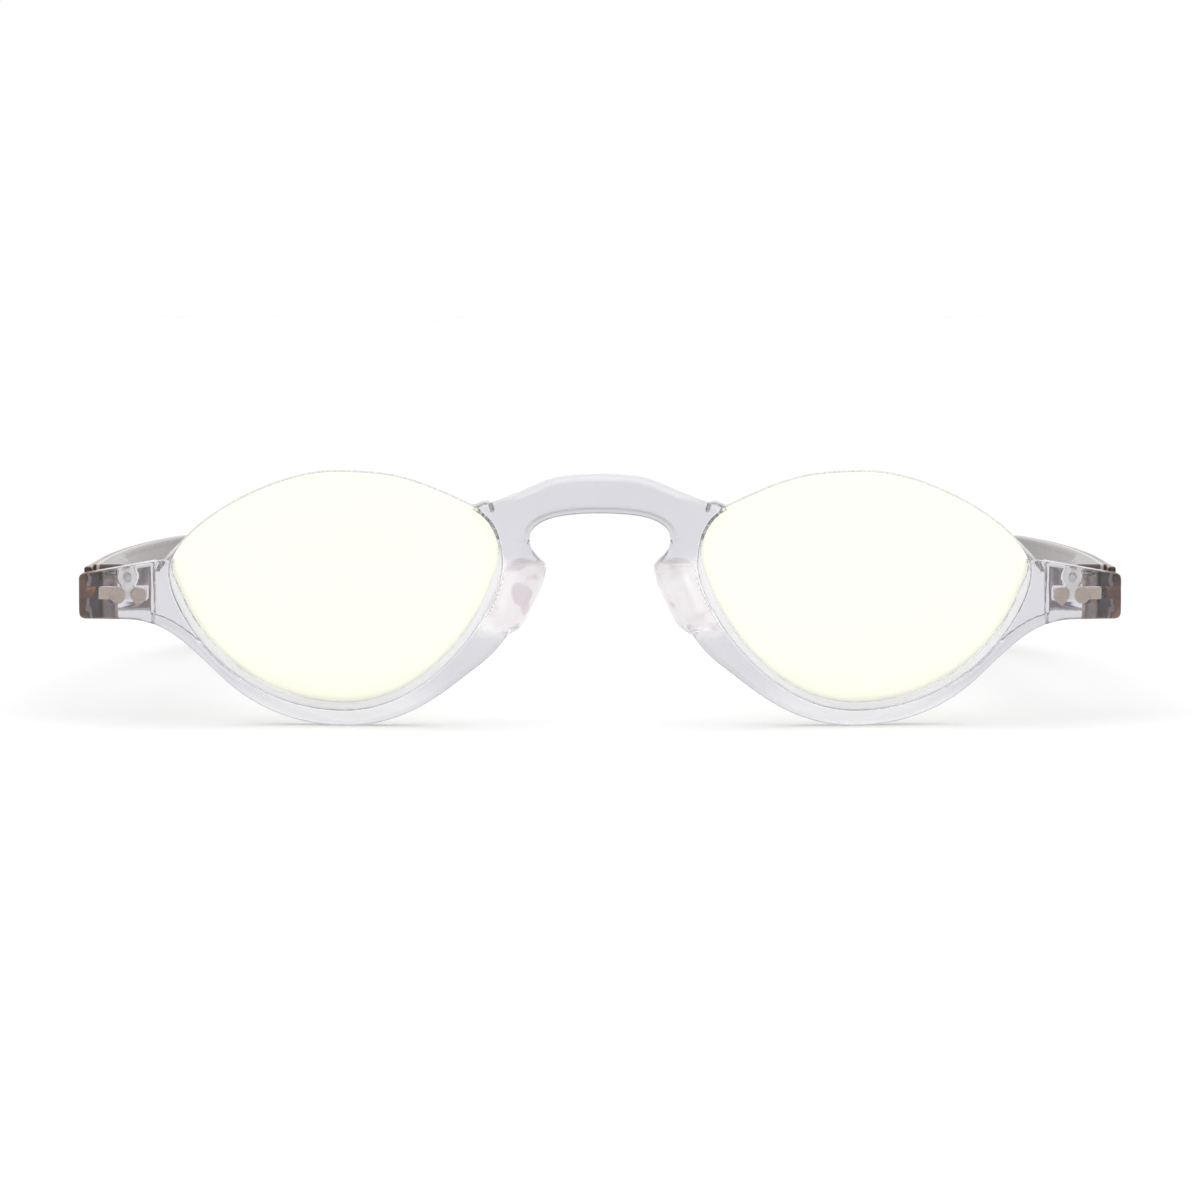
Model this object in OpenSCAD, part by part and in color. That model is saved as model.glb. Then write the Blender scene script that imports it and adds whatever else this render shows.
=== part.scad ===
// Half-rim reading glasses with clear front, cord-held lenses and folding temples.
// Millimetres. +X to the wearer's left, the front faces -Y, +Z up, z = 0 is the table.
// Curves are written in a working frame whose y = 0 is the front-most point of the
// bridge; place() then moves everything so that the bounding box is centred on x and y.

/* [Front] */
// Radius of the front's wrap around the face
wrap_r = 300; // [200:10:500]
// Thickness of the moulded front, front to back
front_t = 3.4; // [2.8:0.1:4.5]
// Half the width across the end pieces
half_w = 68.1; // [64:0.1:72]
// How deep the lens edge sits in the rim's groove along the bottom
groove_d = 1.1; // [0.6:0.1:1.6]
// How deep it sits in the groove beside the cord's ends
groove_top_d = 0.35; // [0.2:0.05:0.6]
// Back face of the end pieces, behind the front-most point
butt_y = 12; // [10:0.1:14]

/* [Lenses] */
// Radius of the lens's front surface
lens_r = 175; // [120:5:300]
// Lens thickness
lens_t = 1.8; // [1.4:0.1:2.5]
// Lens vertex behind the front's outer surface
lens_set = 0.2; // [0:0.05:0.6]
// Horizontal centre of each lens
lens_x = 34; // [30:0.5:38]
// Vertical centre of each lens
lens_z = 17.5; // [15:0.5:20]
// Width of the groove for the cord in the lens's top edge
cord_groove_w = 0.7; // [0.6:0.02:0.9]
// Diameter of the cord
cord_d = 0.5; // [0.3:0.05:0.8]

/* [Hinges] */
// Hinge pin position across the face
pin_x = 64; // [62:0.1:66]
// Hinge pin position behind the front-most point
pin_y = 13.3; // [12.5:0.1:15]
// Middle height of the hinge
pin_z = 16.7; // [15:0.1:19]
// Outer radius of the knuckles
knuckle_r = 1.25; // [1:0.05:1.6]
// Radius of the hole through the knuckles
knuckle_bore = 0.6; // [0.4:0.05:0.8]
// Radius of the hinge screw's shank
screw_r = 0.55; // [0.35:0.05:0.75]
// Height of the middle knuckle
mid_h = 1.5; // [1.2:0.1:2.4]
// Height of each outer knuckle
outer_h = 1.35; // [1:0.05:2]
// Gap between neighbouring knuckles
knuckle_gap = 0.05; // [0.02:0.01:0.15]

/* [Temples] */
// Thickness of the temple in its long middle stretch
temple_t = 2.8; // [2:0.1:4]
// Gap between the end piece and the open temple
butt_gap = 0.03; // [0.01:0.01:0.1]

/* [Hidden] */

// half of the overall depth: the frame's origin is the middle of the bounding box
mid_y = 75;
plate_y = butt_y - 1;          // front face of the hinge bar set into the end piece
top_z0 = pin_z + mid_h / 2 + knuckle_gap;
bot_z0 = pin_z - mid_h / 2 - knuckle_gap - outer_h;
tilt = asin(lens_x / wrap_r);
lens_c = [lens_x - sin(tilt) * (lens_r + lens_set),
          wrap_r - sqrt(wrap_r * wrap_r - lens_x * lens_x) + cos(tilt) * (lens_r + lens_set)];

clear_tint = [0.86, 0.86, 0.88, 0.6];
lens_tint = [0.98, 0.98, 0.92, 0.6];
metal_tint = [0.72, 0.66, 0.58];
steel_tint = [0.75, 0.75, 0.76];
cord_tint = [0.9, 0.9, 0.88];
shell_tint = [0.34, 0.2, 0.13];

// ---------- curves ----------
function bez(p, n) = [for (i = [0 : n]) let (t = i / n, u = 1 - t)
    u * u * u * p[0] + 3 * u * u * t * p[1] + 3 * u * t * t * p[2] + t * t * t * p[3]];
function tail(p) = [for (i = [1 : len(p) - 1]) p[i]];
function flip(p) = [for (i = [len(p) - 1 : -1 : 0]) p[i]];
function unit(v) = v / norm(v);
// square to a closed anticlockwise outline at its point i, pointing inwards
function inward(p, i) = let (n = len(p), t = unit(p[(i + 1) % n] - p[(i + n - 1) % n])) [-t[1], t[0]];
// moves each point of the outline inwards by d
function inset(p, d) = [for (i = [0 : len(p) - 1]) p[i] + d * inward(p, i)];
function ease(s) = let (c = min(max(s, 0), 1)) c * c * (3 - 2 * c);

// lens outline, anticlockwise from the top: nasal side, bottom, outer side
lens_line = concat(
    tail(bez([[34.5, 32.9], [27, 32.9], [24.6, 32.35], [16.4, 28.45]], 12)),
    tail(bez([[16.4, 28.45], [14.3, 27.45], [12.6, 25.4], [12.6, 21]], 10)),
    tail(bez([[12.6, 21], [12.6, 16.6], [20.7, 2], [33.2, 2]], 16)),
    tail(bez([[33.2, 2], [48.3, 2], [56.1, 14.9], [56.1, 19.8]], 18)),
    tail(bez([[56.1, 19.8], [56.1, 25.3], [42.6, 32.9], [34.5, 32.9]], 16)));

// the rim's see-through opening: the groove is deep along the bottom and shallow at its ends,
// which lie higher on the nasal side than on the outer side
opening = [for (i = [0 : len(lens_line) - 1]) let (p = lens_line[i],
    up = p[0] < lens_x ? (p[1] - 18.5) / 5 : (p[1] - 17) / 4)
    p + (groove_d + (groove_top_d - groove_d) * ease(up)) * inward(lens_line, i)];

bridge_top = concat(
    bez([[0, 32.75], [5.8, 32.75], [6.7, 32.05], [9, 31.05]], 8),
    tail(bez([[9, 31.05], [11, 30.15], [14, 28.95], [16.2, 28.35]], 8)));
end_top = bez([[54.4, 21.6], [58, 21.2], [63, 20.1], [67.2, 19.5]], 8);
end_side = concat(
    tail(bez([[67.2, 19.5], [67.8, 19.4], [half_w, 19.1], [half_w, 18.5]], 4)),
    bez([[half_w, 14.4], [half_w, 13.8], [67.8, 13.5], [67.2, 13.5]], 4));
rim_outer = concat(
    bez([[62, 13.5], [57.2, 13.5], [54.5, 11.1], [50, 6.8]], 14),
    tail(bez([[50, 6.8], [47.5, 4.4], [42.5, 0], [33, 0]], 14)));
rim_nasal = concat(
    tail(bez([[33, 0], [24.8, 0], [19.9, 4.8], [16, 7.7]], 12)),
    tail(bez([[16, 7.7], [12.2, 10.6], [11.2, 13], [7.3, 20]], 10)));
pad_corner = concat(
    tail(bez([[7.3, 20], [6.9, 20.7], [6.9, 21], [7.4, 21.5]], 4)),
    tail(bez([[7.4, 21.5], [8.3, 22.3], [9.1, 23], [9.1, 24.2]], 6)));
arch = tail(bez([[9.1, 24.2], [9.1, 26.6], [6, 27.6], [0, 27.6]], 10));
half_line = concat(bridge_top, [[18, 27], [50, 23]], end_top, end_side, rim_outer,
    rim_nasal, pad_corner, arch);

// temple seen from above: outer face, then inner face, as (x, y)
temple_out = bez([[67.75, butt_y + butt_gap], [68.6, 60], [63, 95], [54.6, 150.4]], 30);
function temple_in_x(t, y) = y < 24 ? pin_x - knuckle_r
    : y < 42 ? let (e = ease((y - 24) / 18))
        (1 - e) * (pin_x - knuckle_r) + e * (t - temple_t) : t - temple_t;
temple_plan = concat(temple_out, flip([for (p = temple_out) [temple_in_x(p[0], p[1]), p[1]]]));

// temple seen from the side, as (y, z)
temple_side = concat(
    bez([[butt_y + butt_gap, 19.8], [40, 19.9], [70, 19.4], [96, 18.9]], 10),
    tail(bez([[96, 18.9], [114, 18.5], [123, 15], [139, 10]], 12)),
    tail(bez([[139, 10], [147, 7.9], [150, 6.6], [150, 4]], 8)),
    tail(bez([[150, 4], [150, 1.4], [147.6, 0], [143.6, 0]], 8)),
    tail(bez([[143.6, 0], [138, 0], [130, 4.4], [122, 7.8]], 8)),
    tail(bez([[122, 7.8], [108, 13.8], [100, 14.6], [90, 15]], 10)),
    tail(bez([[90, 15], [60, 15.9], [38, 14.2], [butt_y + butt_gap, 13.6]], 12)));

// ---------- placing ----------
module place(side) translate([0, -mid_y, 0]) if (side > 0) children();
    else mirror([1, 0, 0]) children();

// an (x, z) outline drawn upright and given depth from y0 to y1
module upright(p, y0, y1) translate([0, y1, 0]) rotate([90, 0, 0])
    linear_extrude(y1 - y0) polygon(p);

module wrap_shell(t) translate([0, wrap_r, -1]) difference() {
    cylinder(r = wrap_r, h = 36, $fn = 180);
    translate([0, 0, -1]) cylinder(r = wrap_r - t, h = 38, $fn = 180);
}

// ---------- lens ----------
// shell of the lens, grown outwards all round by g
module lens_body(g) intersection() {
    upright(inset(lens_line, -g), -3, 16);
    translate([lens_c[0], lens_c[1], lens_z]) difference() {
        sphere(r = lens_r + g, $fn = 120);
        sphere(r = lens_r - lens_t - g, $fn = 120);
    }
}

// groove round the part of the lens's edge that stands above the front
module cord_groove() intersection() {
    translate([lens_c[0], lens_c[1], lens_z]) difference() {
        sphere(r = lens_r - lens_t / 2 + cord_groove_w / 2, $fn = 120);
        sphere(r = lens_r - lens_t / 2 - cord_groove_w / 2, $fn = 120);
    }
    difference() {
        upright([[15, 27.6], [26, 40], [50, 40], [60, 22.4], [53, 22.4], [35, 30.5]], -3, 16);
        upright(inset(lens_line, cord_d + 0.15), -4, 17);
    }
}

module lens(side) color(lens_tint) place(side) difference() {
    lens_body(0);
    cord_groove();
}

// ---------- cord ----------
// middle of the lens's thickness at (x, z)
function on_lens(x, z) = [x, lens_c[1] - sqrt(pow(lens_r - lens_t / 2, 2)
    - pow(x - lens_c[0], 2) - pow(z - lens_z, 2)), z];
// blind holes that take the cord's ends, each as (mouth, far end)
hole_out = [on_lens(56.2, 21.7), on_lens(57.5, 19.9)];
hole_in = [on_lens(14.1, 28.7), on_lens(13.9, 28)];
// small arch in which the cord passes over the front's shoulder into the bridge hole
shoulder_arch = [on_lens(16.3, 28.5), on_lens(15.6, 28.8), on_lens(15, 29.02), on_lens(14.5, 28.95)];
// how far the cord's middle lies inside the lens's outline: about half of it stands proud
cord_in = 0.03;
// the cord runs from the outer hole over the top of the lens to the bridge hole
cord_path = let (q = inset(lens_line, cord_in), n = len(q)) concat(
    flip(hole_out),
    [for (i = [n - 16 : n + 10]) let (p = q[i % n]) if (p[1] > 24.6 && p[0] > 16.7) on_lens(p[0], p[1])],
    shoulder_arch, hole_in);

// ring of eight points round the cord at p, square to the direction d
function ring(p, d, r) = let (u = unit(d), v = unit(cross(u, [0, 1, 0])), w = cross(u, v))
    [for (k = [0 : 7]) p + r * (cos(k * 45) * v + sin(k * 45) * w)];
module sweep(path, r) {
    n = len(path);
    pts = [for (i = [0 : n - 1]) each ring(path[i],
        path[min(i + 1, n - 1)] - path[max(i - 1, 0)], r)];
    polyhedron(pts, concat([[for (k = [7 : -1 : 0]) k]], [[for (k = [0 : 7]) (n - 1) * 8 + k]],
        [for (i = [0 : n - 2]) for (k = [0 : 7])
            [i * 8 + k, i * 8 + (k + 1) % 8, (i + 1) * 8 + (k + 1) % 8, (i + 1) * 8 + k]]));
}
module rod(a, b, r) translate(a) rotate([0, acos((b - a)[2] / norm(b - a)),
    atan2((b - a)[1], (b - a)[0])]) cylinder(r = r, h = norm(b - a), $fn = 24);
// a hole along h, run on past its mouth by the given share of its length
module cord_hole(h, past) rod(h[0] + past * (h[0] - h[1]), h[1] + 0.02 * (h[1] - h[0]),
    cord_d / 2 + 0.07);

module nylon_cord(side) color(cord_tint) place(side) sweep(cord_path, cord_d / 2);

// ---------- front ----------
module end_block() intersection() {
    upright(half_line, -1, butt_y);
    translate([0, wrap_r, -1]) cylinder(r = wrap_r, h = 36, $fn = 180);
    translate([0, 0, -1]) linear_extrude(36)
        polygon([[57.8, 6], [57.8, 8.2], [58.2, butt_y], [70, butt_y], [70, 6]]);
}
module nose_pad() hull() {
    translate([9.2, 3, 19.6]) sphere(r = 1.5, $fn = 28);
    translate([12.4, 3, 12.2]) sphere(r = 1.5, $fn = 28);
    translate([11.2, 8.3, 19.4]) scale([0.8, 1, 1.2]) sphere(r = 1.5, $fn = 28);
    translate([13.6, 8, 13.4]) scale([0.8, 1, 1.2]) sphere(r = 1.5, $fn = 28);
    translate([12.9, 3, 20]) sphere(r = 1.3, $fn = 28);
    translate([15.6, 3, 13]) sphere(r = 1.3, $fn = 28);
}
module half_front() difference() {
    union() {
        intersection() {
            upright(half_line, -1, 16);
            wrap_shell(front_t);
        }
        end_block();
        difference() {
            nose_pad();
            upright(inset(lens_line, -0.7), -1, 16);
        }
    }
    // see-through opening inside the rim, and the groove that holds the lens's edge
    upright(opening, -2, 17);
    lens_body(0.04);
    cord_hole(hole_out, 0.6);
    cord_hole(hole_in, 0.1);
    // shallow channel under the cord where it crosses the shoulder
    let (a = concat([on_lens(17, 28.5)], shoulder_arch, [hole_in[0]])) for (i = [0 : len(a) - 2])
        let (d = 0.1 * unit(a[i + 1] - a[i])) rod(a[i] - d, a[i + 1] + d, cord_d / 2 + 0.07);
    // seat of the hinge's bar, its two posts and the fixing screw
    hinge_bar(0.02);
    for (x = post_x) drill(x, post_z, plate_y - post_l - 0.02, post_r + 0.02);
    drill(fix_x, fix_z, fix_tip_y - 0.02, fix_r + 0.02);
}
module front_frame() color(clear_tint) {
    place(1) half_front();
    place(-1) half_front();
}

// ---------- hinge ----------
post_x = [60.05, 62.85];
post_z = pin_z - 0.2;
post_r = 1;
post_l = 3;
bar_x = [59, pin_x + knuckle_r + 0.05];
fix_x = 61.5;
fix_z = pin_z + 2.05;
fix_r = 0.5;
fix_tip_y = 8.2;
head_r = 0.85;
head_t = 0.45;
ear_r = 1.25;
outer_z = [bot_z0, top_z0];
leaf_h = top_z0 + outer_h - bot_z0;
screw_head_h = 0.6;

// round hole or pin along y from y0 to the back of the end piece
module drill(x, z, y0, r) translate([x, butt_y + 0.5, z]) rotate([90, 0, 0])
    cylinder(r = r, h = butt_y + 0.5 - y0, $fn = 32);

// the bar let into the end piece, with the round ear for the fixing screw
module hinge_bar(g) {
    t = butt_y - plate_y + 2 * g;
    translate([bar_x[0] - g, plate_y - g, pin_z - mid_h / 2 - g])
        cube([bar_x[1] - bar_x[0] + 2 * g, t, mid_h + 2 * g]);
    translate([fix_x - 0.8 - g, plate_y - g, pin_z]) cube([1.6 + 2 * g, t, fix_z - pin_z]);
    translate([fix_x, plate_y - g + t, fix_z]) rotate([90, 0, 0])
        cylinder(r = ear_r + g, h = t, $fn = 40);
}
module knuckle(z, h) translate([pin_x, pin_y, z]) cylinder(r = knuckle_r, h = h, $fn = 48);
module bore(z, h) translate([pin_x, pin_y, z - 0.5])
    cylinder(r = knuckle_bore, h = h + 1, $fn = 48);

module front_hinge(side) color(metal_tint) place(side) difference() {
    union() {
        hinge_bar(0);
        for (x = post_x) intersection() {
            drill(x, post_z, plate_y - post_l, post_r);
            translate([50, 0, 0]) cube([20, butt_y, 30]);
        }
        knuckle(pin_z - mid_h / 2, mid_h);
        translate([pin_x - knuckle_r, plate_y, pin_z - mid_h / 2])
            cube([2 * knuckle_r, pin_y - plate_y, mid_h]);
    }
    bore(pin_z - mid_h / 2, mid_h);
    translate([fix_x, butt_y + 1, fix_z]) rotate([90, 0, 0])
        cylinder(r = fix_r + 0.02, h = 3, $fn = 32);
    translate([fix_x, butt_y + 1, fix_z]) rotate([90, 0, 0])
        cylinder(r = head_r + 0.02, h = 1 + head_t + 0.02, $fn = 32);
}

// small screw that holds the bar's ear down in the end piece
module fixing_screw(side) color(steel_tint) place(side) difference() {
    translate([fix_x, butt_y, fix_z]) rotate([90, 0, 0]) {
        cylinder(r = head_r, h = head_t, $fn = 32);
        cylinder(r = fix_r, h = butt_y - fix_tip_y, $fn = 32);
    }
    translate([fix_x - 1, butt_y - 0.2, fix_z - 0.11]) cube([2, 1, 0.22]);
}

// slotted screw that is the hinge's pin, headed at the top
module hinge_screw(side) color(steel_tint) place(side) difference() {
    translate([pin_x, pin_y, bot_z0 - 0.3]) {
        cylinder(r = screw_r, h = leaf_h + 0.4, $fn = 48);
        translate([0, 0, leaf_h + 0.33]) cylinder(r = 1, h = screw_head_h, $fn = 48);
    }
    translate([pin_x - 0.13, pin_y - 2, bot_z0 + leaf_h + 0.33]) cube([0.26, 4, 2]);
}

// ---------- temple ----------
leaf_in_x = pin_x - knuckle_r;  // inner face of the temple beside the hinge
leaf_t = 1.2;
leaf_y0 = pin_y + 1.5;
leaf_y1 = 23.4;
relief_y1 = 17;   // how far back the clearance for the knuckles reaches
relief_x1 = pin_x + 2.8;
rib_x = pin_x + 1.6;   // rib on the clearance's outer wall, beside the middle knuckle
pin_ys = [18.1, 21.6];
pin_tip_x = 66.6;

module temple_leaf(g) {
    translate([leaf_in_x - (g > 0 ? 1 : 0), leaf_y0 - g, bot_z0 - g])
        cube([leaf_t + g + (g > 0 ? 1 : 0), leaf_y1 - leaf_y0 + 2 * g, leaf_h + 2 * g]);
}
// round hole or pin across the temple from its inner face
module cross_pin(y, x0, x1, r) translate([x0, y, pin_z]) rotate([0, 90, 0])
    cylinder(r = r, h = x1 - x0, $fn = 32);

// the rear leaf, with two arms that carry the outer knuckles
module temple_hinge(side) color(metal_tint) place(side) difference() {
    union() {
        temple_leaf(0);
        for (z = outer_z) {
            knuckle(z, outer_h);
            translate([leaf_in_x, pin_y, z]) cube([leaf_t, leaf_y0 - pin_y + 0.5, outer_h]);
        }
    }
    bore(bot_z0, leaf_h);
    for (y = pin_ys) {
        cross_pin(y, leaf_in_x - 1, leaf_in_x + 2, fix_r + 0.02);
        cross_pin(y, leaf_in_x - 1, leaf_in_x + head_t + 0.02, head_r + 0.02);
    }
}
// two countersunk pins that fasten the hinge's rear leaf to the temple
module temple_pins(side) color(steel_tint) place(side) for (y = pin_ys) {
    cross_pin(y, leaf_in_x, leaf_in_x + head_t, head_r);
    cross_pin(y, leaf_in_x, pin_tip_x, fix_r);
}
module temple(side) color(shell_tint) place(side) difference() {
    intersection() {
        linear_extrude(30) polygon(temple_plan);
        translate([30, 0, 0]) rotate([90, 0, 90]) linear_extrude(50) polygon(temple_side);
    }
    // clearance for the knuckles and their arms, open towards the nose
    difference() {
        translate([pin_x - 2.5, pin_y - 1.5, 10])
            cube([relief_x1 - pin_x + 2.5, relief_y1 - pin_y + 1.5, 20]);
        translate([rib_x, butt_y, pin_z - mid_h / 2]) cube([5, 2, mid_h]);
    }
    temple_leaf(0.02);
    for (y = pin_ys) cross_pin(y, leaf_in_x - 1, pin_tip_x + 0.02, fix_r + 0.02);
}

front_frame();
lens(1);  // lens_left
lens(-1);  // lens_right
nylon_cord(1);  // nylon_cord_left
nylon_cord(-1);  // nylon_cord_right
front_hinge(1);  // front_hinge_left
front_hinge(-1);  // front_hinge_right
fixing_screw(1);  // fixing_screw_left
fixing_screw(-1);  // fixing_screw_right
hinge_screw(1);  // hinge_screw_left
hinge_screw(-1);  // hinge_screw_right
temple_hinge(1);  // temple_hinge_left
temple_hinge(-1);  // temple_hinge_right
temple_pins(1);  // temple_pins_left
temple_pins(-1);  // temple_pins_right
temple(1);  // temple_left
temple(-1);  // temple_right
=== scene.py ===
"""Half-rim glasses: clear moulded front, lenses held by a cord, tortoiseshell temples."""

import math

import bpy
import numpy as np
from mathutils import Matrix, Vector


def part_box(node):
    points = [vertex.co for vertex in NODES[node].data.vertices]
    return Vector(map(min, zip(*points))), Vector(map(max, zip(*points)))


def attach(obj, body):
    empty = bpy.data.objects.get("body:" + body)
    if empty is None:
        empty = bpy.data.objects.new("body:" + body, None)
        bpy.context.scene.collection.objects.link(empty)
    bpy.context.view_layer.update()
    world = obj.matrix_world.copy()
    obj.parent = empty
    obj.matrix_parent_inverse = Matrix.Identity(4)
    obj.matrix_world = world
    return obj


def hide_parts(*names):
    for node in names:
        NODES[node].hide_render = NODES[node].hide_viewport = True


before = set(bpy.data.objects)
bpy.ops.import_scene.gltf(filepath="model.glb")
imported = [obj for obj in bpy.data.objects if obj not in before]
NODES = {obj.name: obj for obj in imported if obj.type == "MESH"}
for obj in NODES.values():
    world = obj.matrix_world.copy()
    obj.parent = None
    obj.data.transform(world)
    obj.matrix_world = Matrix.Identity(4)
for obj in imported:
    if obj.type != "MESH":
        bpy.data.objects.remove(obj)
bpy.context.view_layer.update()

# Shapes are worked out in millimetres, with y = 0 at the front-most point of the bridge,
# for the +x side. BACK moves them into the row frame.
MM = 0.001
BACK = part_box("front_frame")[0].y / MM
SIDES = {"left": 1, "right": -1}

# ---------- driving sizes, in mm, as in the CAD model ----------
WRAP_R = 300                        # radius that the front is wrapped on
FRONT_T = 3.4                       # thickness of the front
HALF_W = 68.1                       # from the middle to the end of the front
BUTT_Y = 12                         # back of the end pieces, where the temples butt
GROOVE_D, GROOVE_TOP_D = 1.1, 0.35  # depth of the lens groove, at the bottom and at its ends
LENS_R = 175                        # radius of the lens's front face
LENS_T = 1.8                        # thickness of the lens
LENS_SET = 0.2                      # how far the lens's middle lies behind the wrap
LENS_X, LENS_Z = 34, 17.5           # the lens's middle
PIN = (64, 13.3, 16.7)              # middle of the hinge screw
KNUCKLE_R = 1.25
OUTER_H = 1.35                      # height of an outer knuckle
MID_H = 1.5                         # height of the middle knuckle and of the bar
KNUCKLE_GAP = 0.05
CORD_R = 0.25
TEMPLE_T = 2.8                      # thickness of the temple's long stretch
BUTT_GAP = 0.03                     # between an end piece and an open temple
PLATE_T = 1.0                       # thickness of the bar of the front hinge
BAR_X = (59, PIN[0] + KNUCKLE_R + 0.05)
FIX = (61.5, PIN[2] + 2.05)         # x and z of the fixing screw
EAR_R = 1.25                        # radius of the ear that the fixing screw holds
NECK_HALF_W = 0.8                   # half the width of the neck between bar and ear
LEAF_T = 1.2                        # thickness of the rear hinge leaf
LEAF_Y = (14.8, 23.4)
LEAF_HALF_H = MID_H / 2 + KNUCKLE_GAP + OUTER_H
RELIEF_X = (PIN[0] - 9, PIN[0] + 2.8)   # the pocket in the temple that clears the knuckles
RELIEF_Y1 = 17
RIB_X = PIN[0] + 1.6                # inner face of the rib in that pocket

# ---------- finer detail, in mm ----------
SNUG = 0.03                         # how far the plastic closes over a metal insert
FRONT_EDGE = 0.6                    # rounding of the front's edges
LIP_EDGE = 0.25                     # rounding of the lips beside the lens
BEVEL_W, BEVEL_D = 1.35, 0.8        # the slope along the front's outline
STEP_D = 0.14                       # height of the fine steps in the front's face
UNDER_W = 0.68                      # width of the step along the underside of the bridge
END_X = 58.3                        # inner wall of the thick end piece
END_DRAFT = 0.02                    # lean of that wall
PAD_AT = (11.45, 5.55, 17)          # middle of a nose pad
PAD_DOWN = (0.391, 0, -0.920)       # along the pad
PAD_BACK = (0.335, 0.930, 0.142)    # across the pad
PAD_HALF = (1.5, 1.6)               # half length and half width, less the rounding
PAD_ROUND = 2.5                     # rounding of the pad's outline
PAD_HALF_T = 1.25                   # half its thickness
PAD_FILLET = 2.2                    # where the pad runs into the front
CORD_ROOM_R = CORD_R + 0.07         # the holes and channel that the cord lies in
CORD_IN = 0.031                     # how far the cord's middle lies inside the lens's outline
SEAM, PALE_CORE_AND_HIGHLIGHT = 1.25, 0.4              # the temple's tortoiseshell layer and its pale core, which is partly a painted highlight
TOP_OUT, TOP_IN = 50, 40            # points on the lens's top edge, outer and nasal stretch


# ---------- outlines ----------
def curve(a, b, c, d, n=24):
    """Points on a cubic curve, both ends included."""
    t = np.linspace(0, 1, n + 1)[:, None]
    u = 1 - t
    a, b, c, d = (np.array(p, float) for p in (a, b, c, d))
    return u**3 * a + 3 * u * u * t * b + 3 * u * t * t * c + t**3 * d


def chain(*curves):
    """Curves end to end; a point that repeats the one before it is dropped."""
    points = np.concatenate(curves)
    keep = np.linalg.norm(np.diff(points, axis=0, prepend=points[:1] + 9), axis=1) > 1e-6
    return points[keep]


LENS_LINE = chain(
    curve((34.5, 32.9), (27, 32.9), (24.6, 32.35), (16.4, 28.45), TOP_IN),
    curve((16.4, 28.45), (14.3, 27.45), (12.6, 25.4), (12.6, 21), 30),
    curve((12.6, 21), (12.6, 16.6), (20.7, 2), (33.2, 2), 50),
    curve((33.2, 2), (48.3, 2), (56.1, 14.9), (56.1, 19.8), 60),
    curve((56.1, 19.8), (56.1, 25.3), (42.6, 32.9), (34.5, 32.9), TOP_OUT),
)[:-1]
FRONT_LINE = chain(
    curve((0, 32.75), (5.8, 32.75), (6.7, 32.05), (9, 31.05)),
    curve((9, 31.05), (11, 30.15), (14, 28.95), (16.2, 28.35)),
    [(18, 27), (50, 23)],
    curve((54.4, 21.6), (58, 21.2), (63, 20.1), (67.2, 19.5)),
    curve((67.2, 19.5), (67.8, 19.4), (HALF_W, 19.1), (HALF_W, 18.5), 10),
    curve((HALF_W, 14.4), (HALF_W, 13.8), (67.8, 13.5), (67.2, 13.5), 10),
    curve((62, 13.5), (57.2, 13.5), (54.5, 11.1), (50, 6.8), 30),
    curve((50, 6.8), (47.5, 4.4), (42.5, 0), (33, 0), 30),
    curve((33, 0), (24.8, 0), (19.9, 4.8), (16, 7.7), 30),
    curve((16, 7.7), (12.2, 10.6), (11.2, 13), (7.3, 20)),
    curve((7.3, 20), (6.9, 20.7), (6.9, 21), (7.4, 21.5), 8),
    curve((7.4, 21.5), (8.3, 22.3), (9.1, 23), (9.1, 24.2), 12),
    curve((9.1, 24.2), (9.1, 26.6), (6, 27.6), (0, 27.6)),
    [(-3, 27.6), (-3, 32.75)],
)
TEMPLE_OUT = curve((67.75, BUTT_Y + BUTT_GAP), (68.6, 60), (63, 95), (54.6, 150.4), 120)
TEMPLE_SIDE = chain(
    curve((BUTT_Y + BUTT_GAP, 20), (40, 20.2), (70, 19.9), (96, 19.3)),
    curve((96, 19.3), (114, 18.8), (123, 15), (139, 10)),
    curve((139, 10), (147, 7.9), (150, 6.6), (150, 4)),
    curve((150, 4), (150, 1.4), (147.6, 0), (143.6, 0)),
    curve((143.6, 0), (138, 0), (130, 4.4), (122, 7.8)),
    curve((122, 7.8), (108, 13.8), (100, 14.6), (90, 15)),
    curve((90, 15), (60, 15.9), (38, 14.2), (BUTT_Y + BUTT_GAP, 13.6)),
)

LENS_TILT = math.asin(LENS_X / WRAP_R)
# the middle of the ball that the lens's front face is part of
LENS_C = (
    LENS_X - math.sin(LENS_TILT) * (LENS_R + LENS_SET),
    WRAP_R - math.sqrt(WRAP_R**2 - LENS_X**2) + math.cos(LENS_TILT) * (LENS_R + LENS_SET),
    LENS_Z,
)


def lens_y(x, z, depth):
    """y of the surface that lies depth behind the lens's front face."""
    r = LENS_R - depth
    return LENS_C[1] - np.sqrt(r * r - (x - LENS_C[0]) ** 2 - (z - LENS_C[2]) ** 2)


# ---------- distance fields ----------
def line_distance(line, u, v):
    """Signed distance to a closed outline, negative inside."""
    shape = np.broadcast(u, v).shape
    p = np.stack([np.broadcast_to(u, shape).ravel(), np.broadcast_to(v, shape).ravel()], 1)
    best = np.full(len(p), 1e9)
    inside = np.zeros(len(p), bool)
    for a, b in zip(line, np.roll(line, -1, 0)):
        d = b - a
        if d @ d < 1e-12:
            continue
        s = np.clip((p - a) @ d / (d @ d), 0, 1)
        best = np.minimum(best, ((p - a - s[:, None] * d) ** 2).sum(1))
        crosses = (a[1] > p[:, 1]) != (b[1] > p[:, 1])
        inside ^= crosses & (p[:, 0] < a[0] + (p[:, 1] - a[1]) * d[0] / (d[1] or 1e-12))
    return np.where(inside, -1, 1).reshape(shape) * np.sqrt(best).reshape(shape)


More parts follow.
